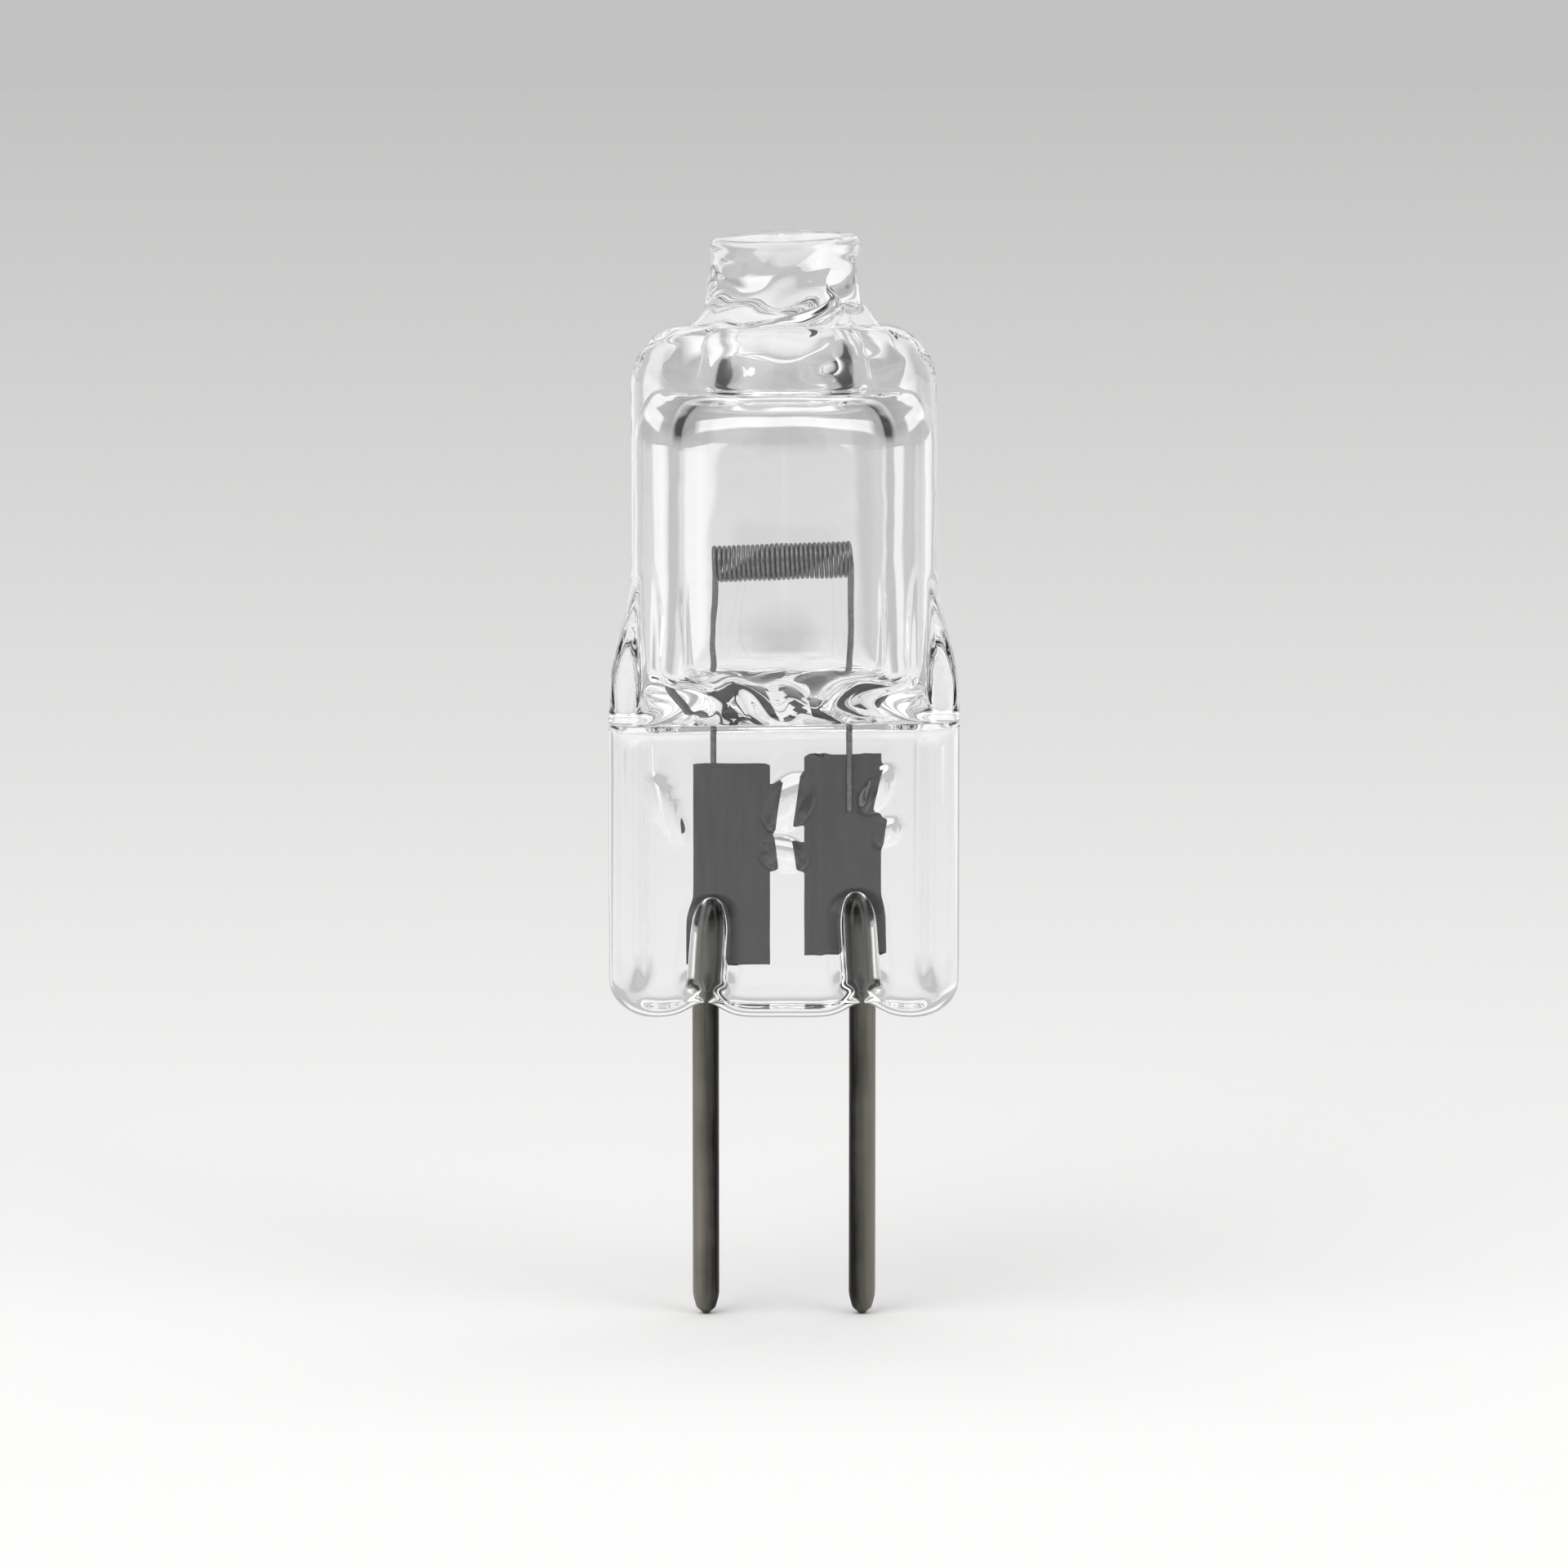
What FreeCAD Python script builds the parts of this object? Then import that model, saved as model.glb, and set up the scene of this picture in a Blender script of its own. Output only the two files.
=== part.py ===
# Halogen capsule bulb with a two-pin base, in millimetres.
# The origin is the middle of the flat glass base between the pins. +Z runs up the lamp to the sealed
# tip, X runs along the row of pins, and -Y is the front, where the pins lie in front of the foils.
import FreeCAD, Part
import math
import os
import Sketcher

SIZES = {
    # glass, outside
    "bulb_dia": 7.72,
    "pinch_width": 8.88,
    "flare_low": 7.9,
    "flare_high": 10.8,
    "base_round": 0.95,
    "shoulder_height": 15.95,
    "stub_dia": 3.8,
    "neck_flare": 0.42,
    "neck_height": 0.75,
    "tip_low": 19.66,
    "tip_high": 19.86,
    "tip_round": 0.3,
    # glass, the flat pinch
    "pinch_thick": 3.0,
    "pinch_edge": 0.85,
    "pinch_side_round": 0.75,
    "crease_height": 7.5,
    "crease_round": 0.2,
    "bulge_height": 9.5,
    "boss_rise": 0.08,
    "boss_top": 3.0,
    "scallop_radius": 0.9,
    "scallop_depth": 0.3,
    "exit_dia": 1.3,
    "exit_depth": 0.9,
    # glass, the sealed hollow
    "bore_dia": 5.2,
    "ceiling_height": 15.8,
    "ceiling_bevel": 0.45,
    "throat_dia": 2.8,
    "throat_top": 18.5,
    "throat_top_dia": 0.3,
    "floor_height": 8.3,
    "floor_corner": 1.4,
    # pins
    "pin_spacing": 4.0,
    "pin_dia": 0.68,
    "pin_reach": 7.87,
    "pin_point": 0.45,
    "pin_point_dia": 0.24,
    "pin_bend_height": 0.05,
    "pin_nose": 0.35,
    "pin_nose_dia": 0.28,
    "weld_spacing": 3.64,
    "pin_top_left": 2.84,
    "pin_top_right": 2.99,
    "pin_gap": 0.02,
    # foils
    "foil_width": 1.95,
    "foil_length": 5.13,
    "foil_thick": 0.03,
    "foil_feather": 0.2,
    "foil_centre_left": -1.33,
    "foil_centre_right": 1.49,
    "foil_base_left": 1.24,
    "foil_base_right": 1.49,
    # filament
    "wire_flat": 0.11,
    "coil_dia": 0.86,
    "coil_length": 3.44,
    "coil_offset": -0.07,
    "coil_turns": 18,
    "coil_height": 11.5,
    "leg_bend_rise": 0.8,
    "leg_overlap": 1.5,
    # clearances
    "weld_gap": 0.005,
    "seal_gap": 0.01,
}

SIDES = {"left": -1, "right": 1}
TURN_STEPS = 8
WIRE_CORNERS = [(-1, -1), (1, -1), (1, 1), (-1, 1)]

doc = FreeCAD.newDocument("HalogenCapsule")
sheet = doc.addObject("Spreadsheet::Sheet", "Sizes")
for row, (alias, number) in enumerate(SIZES.items(), start=1):
    sheet.set(f"A{row}", alias)
    sheet.set(f"B{row}", str(number))
    sheet.setAlias(f"B{row}", alias)
doc.recompute()


def bound(text):
    """Points each alias in an expression at its cell of the sheet."""
    words = [f"Sizes.{word}" if word in SIZES else word for word in text.split(" ")]
    return " ".join(words)


def value(text):
    """What an expression comes to with the sheet as it is now."""
    return float(sheet.evalExpression(bound(text)))


def origin_plane(body, role):
    return next(item for item in body.Origin.OriginFeatures if item.Role == role)


def sketch(body, name, plane, lift="0", shift="0"):
    """A sketch on an origin plane, lifted along its normal and shifted along its first axis."""
    drawing = body.newObject("Sketcher::SketchObject", name)
    drawing.AttachmentSupport = [(origin_plane(body, plane), "")]
    drawing.MapMode = "FlatFace"
    drawing.setExpression("AttachmentOffset.Base.z", bound(lift))
    drawing.setExpression("AttachmentOffset.Base.x", bound(shift))
    return drawing


def fix(drawing, axis, element, point, text):
    """Ties one coordinate of a point of the sketch to an expression."""
    if text == "0":
        line = -2 if axis == "X" else -1
        drawing.addConstraint(Sketcher.Constraint("PointOnObject", element, point, line))
        return
    rule = Sketcher.Constraint("Distance" + axis, -1, 1, element, point, value(text))
    number = drawing.addConstraint(rule)
    drawing.setExpression(f"Constraints[{number}]", bound(text))


def arc_between(start, end, axis, known):
    """The short arc from start to end about a centre with one known coordinate.

    It comes with the number of its point at the start."""
    along = end - start
    middle = (start + end) / 2
    if axis == "X":
        centre = FreeCAD.Vector(known, middle.y - (known - middle.x) * along.x / along.y, 0)
    else:
        centre = FreeCAD.Vector(middle.x - (known - middle.y) * along.y / along.x, known, 0)
    circle = Part.Circle(centre, FreeCAD.Vector(0, 0, 1), (start - centre).Length)
    turns_left = (start - centre).cross(end - centre).z > 0
    first, last = (start, end) if turns_left else (end, start)
    angles = [math.atan2(p.y - centre.y, p.x - centre.x) for p in (first, last)]
    return Part.ArcOfCircle(circle, *angles), 1 if turns_left else 2


def chain(drawing, corners, arcs, closed):
    """Lines and arcs through the corners, each corner a pair of expressions.

    arcs maps the number of an edge to the axis and expression of one coordinate of its centre."""
    points = [FreeCAD.Vector(value(x), value(y), 0) for x, y in corners]
    edges = []
    for number in range(len(points) if closed else len(points) - 1):
        start = points[number]
        end = points[(number + 1) % len(points)]
        if number in arcs:
            axis, text = arcs[number]
            shape, first = arc_between(start, end, axis, value(text))
            edges.append((drawing.addGeometry(shape, False), first))
            fix(drawing, axis, edges[-1][0], 3, text)
        else:
            edges.append((drawing.addGeometry(Part.LineSegment(start, end), False), 1))
    for number, (element, first) in enumerate(edges):
        fix(drawing, "X", element, first, corners[number][0])
        fix(drawing, "Y", element, first, corners[number][1])
        if closed or number + 1 < len(edges):
            after, after_first = edges[(number + 1) % len(edges)]
            drawing.addConstraint(Sketcher.Constraint("Coincident", element, 3 - first, after, after_first))
        else:
            fix(drawing, "X", element, 3 - first, corners[-1][0])
            fix(drawing, "Y", element, 3 - first, corners[-1][1])


def circle(drawing, x, y, radius):
    centre = FreeCAD.Vector(value(x), value(y), 0)
    element = drawing.addGeometry(Part.Circle(centre, FreeCAD.Vector(0, 0, 1), value(radius)), False)
    fix(drawing, "X", element, 3, x)
    fix(drawing, "Y", element, 3, y)
    number = drawing.addConstraint(Sketcher.Constraint("Radius", element, value(radius)))
    drawing.setExpression(f"Constraints[{number}]", bound(radius))


def turned(body, name, drawing):
    """A full revolution of a half profile about the sketch's upright axis."""
    feature = body.newObject("PartDesign::Revolution", name)
    feature.Profile = drawing
    feature.ReferenceAxis = (drawing, ["V_Axis"])
    feature.Angle = 360


def through_cut(body, name, drawing):
    """A cut of the sketch right through the body, both ways from its plane."""
    feature = body.newObject("PartDesign::Pocket", name)
    feature.Profile = drawing
    feature.Type = "ThroughAll"
    feature.Midplane = True
    return feature


def loft(body, name, first, last):
    feature = body.newObject("PartDesign::AdditiveLoft", name)
    feature.Profile = first
    feature.Sections = [last]
    feature.Ruled = True


def edge_names(feature, wanted):
    """The names of a feature's edges that a test picks."""
    return [f"Edge{n}" for n, edge in enumerate(feature.Shape.Edges, start=1) if wanted(edge)]


# The outside of the glass: a turned bulb with a drawn-off stub, flattened at its foot by two jaws.
outer = doc.addObject("PartDesign::Body", "OuterForm")
shoulder_round = "( bulb_dia / 2 - stub_dia / 2 - neck_flare )"
dome_height = f"( shoulder_height + {shoulder_round} )"
profile = sketch(outer, "BulbProfile", "XZ_Plane")
chain(profile, [
    ("0", "0"),
    ("pinch_width / 2 - base_round", "0"),
    ("pinch_width / 2", "base_round"),
    ("pinch_width / 2", "flare_low"),
    ("( pinch_width + bulb_dia ) / 4", "( flare_low + flare_high ) / 2"),
    ("bulb_dia / 2", "flare_high"),
    ("bulb_dia / 2", "shoulder_height"),
    (f"bulb_dia / 2 - {shoulder_round}", dome_height),
    ("stub_dia / 2", f"{dome_height} + neck_height"),
    ("stub_dia / 2", "tip_high + tip_round"),
    ("0", "tip_high + tip_round"),
], {
    1: ("Y", "base_round"),
    3: ("Y", "flare_low"),
    4: ("Y", "flare_high"),
    6: ("Y", "shoulder_height"),
}, closed=True)
turned(outer, "Bulb", profile)

# The stub was melted off at a slant, and its rim ran round.
slant = sketch(outer, "TipSlant", "XZ_Plane")
chain(slant, [
    ("- stub_dia", "( tip_low + tip_high ) / 2 - ( tip_high - tip_low )"),
    ("stub_dia", "( tip_low + tip_high ) / 2 + ( tip_high - tip_low )"),
    ("stub_dia", "tip_high + stub_dia"),
    ("- stub_dia", "tip_high + stub_dia"),
], {}, closed=True)
tip_cut = through_cut(outer, "TipCut", slant)
doc.recompute()
rim = edge_names(tip_cut, lambda edge: edge.isClosed() and edge.BoundBox.ZMax > value("tip_low"))
tip_rim = outer.newObject("PartDesign::Fillet", "TipRim")
tip_rim.Base = (tip_cut, rim)
tip_rim.setExpression("Radius", bound("tip_round"))

# The jaws: flat faces up to the crease, a round bulge above it, and a rounded edge along the base.
for side, sign in (("Front", "- "), ("Back", "")):
    jaw = sketch(outer, f"Jaw{side}", "YZ_Plane")
    chain(jaw, [
        (f"{sign}( pinch_thick / 2 - pinch_edge )", "0"),
        (f"{sign}( pinch_thick / 2 )", "pinch_edge"),
        (f"{sign}( pinch_thick / 2 )", "crease_height - crease_round"),
        (f"{sign}( pinch_thick / 2 + crease_round )", "crease_height"),
        (f"{sign}( bulb_dia / 2 )", "bulge_height"),
        (f"{sign}( bulb_dia / 2 )", "flare_high"),
        (f"{sign}( pinch_width )", "flare_high"),
        (f"{sign}( pinch_width )", "- pinch_edge"),
        (f"{sign}( pinch_thick / 2 - pinch_edge )", "- pinch_edge"),
    ], {
        0: ("Y", "pinch_edge"),
        2: ("Y", "crease_height - crease_round"),
        3: ("Y", "bulge_height"),
    }, closed=True)
    through_cut(outer, f"JawCut{side}", jaw)

# The upright edges of the pinch are rounded up to the crease.
upright = sketch(outer, "UprightEdges", "XY_Plane")
for across in ("- ", ""):
    for deep in ("- ", ""):
        chain(upright, [
            (f"{across}( pinch_width / 2 - pinch_side_round )", f"{deep}( pinch_thick / 2 )"),
            (f"{across}( pinch_width / 2 )", f"{deep}( pinch_thick / 2 - pinch_side_round )"),
            (f"{across}( pinch_width )", f"{deep}( pinch_thick / 2 - pinch_side_round )"),
            (f"{across}( pinch_width )", f"{deep}( pinch_width )"),
            (f"{across}( pinch_width / 2 - pinch_side_round )", f"{deep}( pinch_width )"),
        ], {0: ("X", f"{across}( pinch_width / 2 - pinch_side_round )")}, closed=True)
upright_cut = outer.newObject("PartDesign::Pocket", "UprightCut")
upright_cut.Profile = upright
upright_cut.Reversed = True
upright_cut.setExpression("Length", bound("crease_height"))

# Round bosses stand proud of both faces over the pins, and the base is scalloped where the pins leave it.
boss_radius = "( pinch_thick / 2 + boss_rise )"
boss_chord = f"sqrt( {boss_radius} ^ 2 - ( pinch_thick / 2 ) ^ 2 )"
for name, side in SIDES.items():
    middle = f"{side} * ( pin_spacing + weld_spacing ) / 4"
    boss = sketch(outer, f"BossProfile_{name}", "XZ_Plane", shift=middle)
    chain(boss, [
        ("0", "scallop_depth"),
        (f"{boss_radius} - pinch_edge / 3", "scallop_depth"),
        (boss_radius, "pinch_edge"),
        (boss_radius, f"boss_top - {boss_chord}"),
        ("0", f"boss_top - {boss_chord} + {boss_radius}"),
    ], {3: ("X", "0")}, closed=True)
    turned(outer, f"Boss_{name}", boss)
for name, side in SIDES.items():
    scallop = sketch(outer, f"Scallop_{name}", "XZ_Plane")
    circle(scallop, f"{side} * pin_spacing / 2", "scallop_depth - scallop_radius", "scallop_radius")
    through_cut(outer, f"ScallopCut_{name}", scallop)

# The sealed hollow: a bore with a conical throat left by the exhaust tube, its foot rounded by the cheeks.
hollow = doc.addObject("PartDesign::Body", "Hollow")
bore = sketch(hollow, "BoreProfile", "XZ_Plane")
chain(bore, [
    ("0", "floor_height"),
    ("bore_dia / 2", "floor_height"),
    ("bore_dia / 2", "ceiling_height - ceiling_bevel"),
    ("bore_dia / 2 - ceiling_bevel", "ceiling_height"),
    ("throat_dia / 2", "ceiling_height"),
    ("throat_top_dia / 2", "throat_top"),
    ("0", "throat_top"),
], {}, closed=True)
turned(hollow, "Bore", bore)
for side, sign in (("Front", "- "), ("Back", "")):
    trough = sketch(hollow, f"Trough{side}", "YZ_Plane")
    chain(trough, [
        (f"{sign}( bore_dia / 2 - floor_corner )", "floor_height - floor_corner"),
        (f"{sign}( bore_dia / 2 - floor_corner )", "floor_height"),
        (f"{sign}( bore_dia / 2 )", "floor_height + floor_corner"),
        (f"{sign}( bore_dia )", "floor_height + floor_corner"),
        (f"{sign}( bore_dia )", "floor_height - floor_corner"),
    ], {1: ("Y", "floor_height + floor_corner")}, closed=True)
    through_cut(hollow, f"TroughCut{side}", trough)


def lean_at(side, name, height):
    """How far along X the leaning stem of a pin has come at a height, on its way in to the weld."""
    return (f"{side} * ( pin_spacing / 2 - ( pin_spacing - weld_spacing ) / 2 * "
            f"( {height} - pin_bend_height ) / ( pin_top_{name} - pin_bend_height ) )")


def make_pin(label, name, side):
    """A pointed pin that leaves the glass upright and leans in above it to a tapered nose at its weld."""
    body = doc.addObject("PartDesign::Body", label)
    upright = f"{side} * pin_spacing / 2"
    shoulder = f"( pin_top_{name} - pin_nose )"
    rings = {
        "point": ("- pin_reach", upright, "pin_point_dia / 2"),
        "shank": ("- pin_reach + pin_point", upright, "pin_dia / 2"),
        "stem": ("pin_bend_height", upright, "pin_dia / 2"),
        "nose": (shoulder, lean_at(side, name, shoulder), "pin_dia / 2"),
        "end": (f"pin_top_{name}", lean_at(side, name, f"pin_top_{name}"), "pin_nose_dia / 2"),
    }
    sections = {}
    for ring, (height, place, radius) in rings.items():
        sections[ring] = sketch(body, f"{label}_{ring}_ring", "XY_Plane", lift=height)
        circle(sections[ring], place, "0", radius)
    shank = body.newObject("PartDesign::Pad", f"{label}_shank")
    shank.Profile = sections["shank"]
    shank.setExpression("Length", bound("pin_reach - pin_point + pin_bend_height"))
    for first, last in (("point", "shank"), ("stem", "nose"), ("nose", "end")):
        loft(body, f"{label}_{first}", sections[first], sections[last])
    return body


def make_pin_seat(label, name, side):
    """The room in the glass for a pin's stem, turned about the stem, with a flared mouth in the base."""
    body = doc.addObject("PartDesign::Body", label)
    lean = f"( ( pin_spacing - weld_spacing ) / 2 / ( pin_top_{name} - pin_bend_height ) )"
    reach = f"( ( pin_top_{name} - pin_bend_height ) * sqrt( 1 + {lean} ^ 2 ) )"
    radius = "( pin_dia / 2 + pin_gap )"
    room = sketch(body, f"{label}_profile", "XZ_Plane", shift=f"{side} * pin_spacing / 2")
    room.setExpression("AttachmentOffset.Base.y", bound("pin_bend_height"))
    room.setExpression("AttachmentOffset.Rotation.Angle", bound(f"{side} * atan( {lean} )"))
    chain(room, [
        ("0", "- pin_bend_height - exit_dia * " + lean),
        ("exit_dia / 2", "- pin_bend_height - exit_dia * " + lean),
        (radius, "exit_depth - pin_bend_height"),
        (radius, f"{reach} + pin_gap"),
        ("0", f"{reach} + pin_gap"),
    ], {}, closed=True)
    turned(body, f"{label}_room", room)
    return body


def make_foil(label, name, gap):
    """A thin strip with both long edges feathered to nothing, just behind the pins, grown by a gap."""
    body = doc.addObject("PartDesign::Body", label)
    middle = f"foil_centre_{name}"
    half = f"( foil_width / 2 + {gap} )"
    plane = "( pin_dia / 2 + weld_gap + foil_thick / 2 )"
    thick = f"( foil_thick / 2 + {gap} )"
    section = sketch(body, f"{label}_section", "XY_Plane", lift=f"foil_base_{name} - {gap}")
    chain(section, [
        (f"{middle} - {half}", plane),
        (f"{middle} - {half} + foil_feather", f"{plane} - {thick}"),
        (f"{middle} + {half} - foil_feather", f"{plane} - {thick}"),
        (f"{middle} + {half}", plane),
        (f"{middle} + {half} - foil_feather", f"{plane} + {thick}"),
        (f"{middle} - {half} + foil_feather", f"{plane} + {thick}"),
    ], {}, closed=True)
    strip = body.newObject("PartDesign::Pad", f"{label}_strip")
    strip.Profile = section
    strip.setExpression("Length", bound(f"foil_length + 2 * {gap}"))
    return body


# The filament's legs: the left one is welded behind its foil and the right one in front of its foil.
LEG_BEND = "( floor_height + leg_bend_rise )"
WIRE_REACH = "( wire_flat * sqrt( 2 ) / 2 )"
WELD_DEPTH = {
    "left": f"( pin_dia / 2 + 2 * weld_gap + foil_thick + {WIRE_REACH} )",
    "right": f"( pin_dia / 2 - {WIRE_REACH} )",
}


def leg_place(side):
    return f"( coil_offset + {side} * coil_length / 2 )"


def leg_foot(name):
    return f"( foil_base_{name} + foil_length - leg_overlap )"


def make_filament(label):
    """One wire with four flats: a level coil whose ends run off it, the left at the back and the right at
    the front, down to the foils. Its corners go along each straight step of the path to the plane that
    halves the next turn."""
    radius = value("coil_dia / 2")
    height = value("coil_height")
    start = value(leg_place(SIDES["left"]))
    steps = round(value("coil_turns + 1 / 2") * TURN_STEPS)
    coil = []
    for step in range(steps + 1):
        angle = 2 * math.pi * step / TURN_STEPS
        along = start + value("coil_length") * step / steps
        coil.append(FreeCAD.Vector(along, radius * math.cos(angle), height + radius * math.sin(angle)))
    legs = {}
    for name, side in SIDES.items():
        foot = FreeCAD.Vector(value(leg_place(side)), value(WELD_DEPTH[name]), value(leg_foot(name)))
        legs[name] = [foot, FreeCAD.Vector(foot.x, foot.y, value(LEG_BEND))]
    path = legs["left"] + coil + legs["right"][::-1]

    half = value("wire_flat / 2")
    ring = [path[0] + FreeCAD.Vector(half * x, half * y, 0) for x, y in WIRE_CORNERS]
    faces = [Part.Face(Part.makePolygon(ring + ring[:1]))]
    for number in range(1, len(path)):
        way = (path[number] - path[number - 1]).normalize()
        onward = (path[number + 1] - path[number]).normalize() if number + 1 < len(path) else way
        halving = way + onward
        far = [near + way * ((path[number] - near).dot(halving) / way.dot(halving)) for near in ring]
        for corner in range(len(ring)):
            outline = [ring[corner - 1], ring[corner], far[corner], far[corner - 1], ring[corner - 1]]
            faces.append(Part.Face(Part.makePolygon(outline)))
        ring = far
    faces.append(Part.Face(Part.makePolygon(ring + ring[:1])))
    wire = doc.addObject("Part::Feature", label)
    wire.Shape = Part.Solid(Part.Shell(faces))
    return wire


def make_leg_seat(label, name, side):
    """The hole in the glass for the straight foot of a filament leg, whichever way its flats face."""
    hole = doc.addObject("Part::Box", label)
    half = f"( {WIRE_REACH} + seal_gap )"
    hole.setExpression("Length", bound(f"2 * {half}"))
    hole.setExpression("Width", bound(f"2 * {half}"))
    hole.setExpression("Height", bound(f"{LEG_BEND} - {leg_foot(name)} + seal_gap"))
    hole.setExpression("Placement.Base.x", bound(f"{leg_place(side)} - {half}"))
    hole.setExpression("Placement.Base.y", bound(f"{WELD_DEPTH[name]} - {half}"))
    hole.setExpression("Placement.Base.z", bound(f"{leg_foot(name)} - seal_gap"))
    return hole


filament = make_filament("filament")
sealed = [hollow]
nodes = [filament]
for name, side in SIDES.items():
    nodes.append(make_pin(f"pin_{name}", name, side))
    nodes.append(make_foil(f"foil_{name}", name, "0"))
    sealed.append(make_pin_seat(f"pin_seat_{name}", name, side))
    sealed.append(make_foil(f"foil_seat_{name}", name, "seal_gap"))
    sealed.append(make_leg_seat(f"leg_seat_{name}", name, side))

room = doc.addObject("Part::MultiFuse", "room_inside")
room.Shapes = sealed
envelope = doc.addObject("Part::Cut", "glass_envelope")
envelope.Base = outer
envelope.Tool = room
nodes.append(envelope)

doc.recompute()
failed = [item.Label for item in doc.Objects if {"Invalid", "Error"} & set(item.State)]
broken = [node.Label for node in nodes if node.Shape.isNull() or not node.Shape.isValid()]
if failed or broken:
    raise RuntimeError(f"not built: {failed}, not valid: {broken}")

os.makedirs("parts", exist_ok=True)
for node in nodes:
    node.Shape.exportStep(f"parts/{node.Label}.step")
    print(f"{node.Label}: {len(node.Shape.Solids)} solid, {node.Shape.Volume:.4f} mm3")
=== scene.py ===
import math

import bpy
import numpy as np
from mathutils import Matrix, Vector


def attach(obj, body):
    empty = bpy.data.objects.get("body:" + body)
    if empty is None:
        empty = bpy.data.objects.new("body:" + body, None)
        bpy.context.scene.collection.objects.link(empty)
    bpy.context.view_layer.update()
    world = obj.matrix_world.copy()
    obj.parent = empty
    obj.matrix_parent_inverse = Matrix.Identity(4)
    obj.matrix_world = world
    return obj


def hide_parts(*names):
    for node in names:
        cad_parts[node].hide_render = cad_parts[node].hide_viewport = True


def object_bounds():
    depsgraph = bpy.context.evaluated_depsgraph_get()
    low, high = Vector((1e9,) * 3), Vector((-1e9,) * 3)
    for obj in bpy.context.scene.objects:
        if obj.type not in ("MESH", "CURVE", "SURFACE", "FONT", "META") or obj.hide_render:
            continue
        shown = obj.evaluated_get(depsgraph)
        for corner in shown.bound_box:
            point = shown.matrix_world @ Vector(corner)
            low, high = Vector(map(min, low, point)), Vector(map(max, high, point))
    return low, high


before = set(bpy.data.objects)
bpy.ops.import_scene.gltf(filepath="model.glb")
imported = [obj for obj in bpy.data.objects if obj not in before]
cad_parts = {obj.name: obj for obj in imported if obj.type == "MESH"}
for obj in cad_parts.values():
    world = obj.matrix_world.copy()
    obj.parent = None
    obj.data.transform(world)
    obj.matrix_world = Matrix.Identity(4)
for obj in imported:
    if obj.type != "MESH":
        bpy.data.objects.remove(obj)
cad_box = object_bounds()


# Filament: one tungsten wire wound into a level coil, with a straight leg at each end.
# It hangs free in the bulb, and its legs run down through the pinch to the foils.
# Sizes here and below are in millimetres.

MM = 0.001
COIL_TURNS = 28.5
COIL_RADIUS = 0.42
COIL_START = -1.79
COIL_END = 1.65
COIL_HEIGHT = 11.5
COIL_RISE = 0.06
STEPS_A_TURN = 32
WIRE_RADIUS = 0.052
WIRE_SIDES = 10
LEG_RADIUS = 0.08
LEG_STEPS = 60
LEG_BOW = 0.16
LEG_BOWS_OUT = (7.9, 8.3)
LEG_BOWS_BACK = (8.4, 11.2)
LEG_EASES_OVER = (8.8, 11.2)
LEG_SHORT_OF_COIL = 0.12
LEFT_FOOT = (0.46, 4.87)
RIGHT_FOOT = (0.26, 5.12)
TUNGSTEN = (0.3, 0.3, 0.305, 1)
TUNGSTEN_DULL = (0.06, 0.06, 0.062, 1)


def smooth(low, high, x):
    """A step from 0 at low to 1 at high that starts and ends level: 3 t squared less 2 t cubed."""
    t = np.clip((x - low) / (high - low), 0, 1)
    return t * t * (3 - 2 * t)


def tube(path, radius, sides):
    """Circles carried along a path: each stands square to the path, on a frame that never twists,
    because its first axis is the last one with its part along the path taken away."""
    way = np.gradient(path, axis=0)
    way /= np.linalg.norm(way, axis=1)[:, None]
    first = np.empty_like(path)
    axis = np.array([0.0, 1.0, 0.0])
    for number, along in enumerate(way):
        axis = axis - along * axis.dot(along)
        axis /= np.linalg.norm(axis)
        first[number] = axis
    second = np.cross(way, first)
    turn = np.linspace(0, 2 * np.pi, sides, endpoint=False)[None, :, None]
    ring = np.cos(turn) * first[:, None] + np.sin(turn) * second[:, None]
    return path[:, None] + ring * np.asarray(radius)[:, None, None]


def skin(grids):
    """Points and faces of closed skins: each grid's rows are rings, joined by quads and closed at both
    ends by a face over the whole ring."""
    points, quads, caps, start = [], [], [], 0
    for grid in grids:
        rows, columns = grid.shape[:2]
        number = start + np.arange(rows * columns).reshape(rows, columns)
        beside = np.roll(number, -1, axis=1)
        corners = np.stack([number[:-1], beside[:-1], beside[1:], number[1:]], axis=-1)
        points.append(grid.reshape(-1, 3))
        quads.append(corners.reshape(-1, 4))
        caps += [number[0, ::-1].tolist(), number[-1].tolist()]
        start += rows * columns
    return np.concatenate(points), np.concatenate(quads).tolist() + caps


def piece(name, grids, node, material):
    """A smooth-shaded object made of closed skins, standing for one node of the frame."""
    points, faces = skin(grids)
    mesh = bpy.data.meshes.new(name)
    mesh.from_pydata((points * MM).tolist(), [], faces)
    mesh.polygons.foreach_set("use_smooth", np.ones(len(faces), bool))
    mesh.materials.append(material)
    made = bpy.data.objects.new(name, mesh)
    bpy.context.collection.objects.link(made)
    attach(made, "root")
    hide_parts(node)


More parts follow.
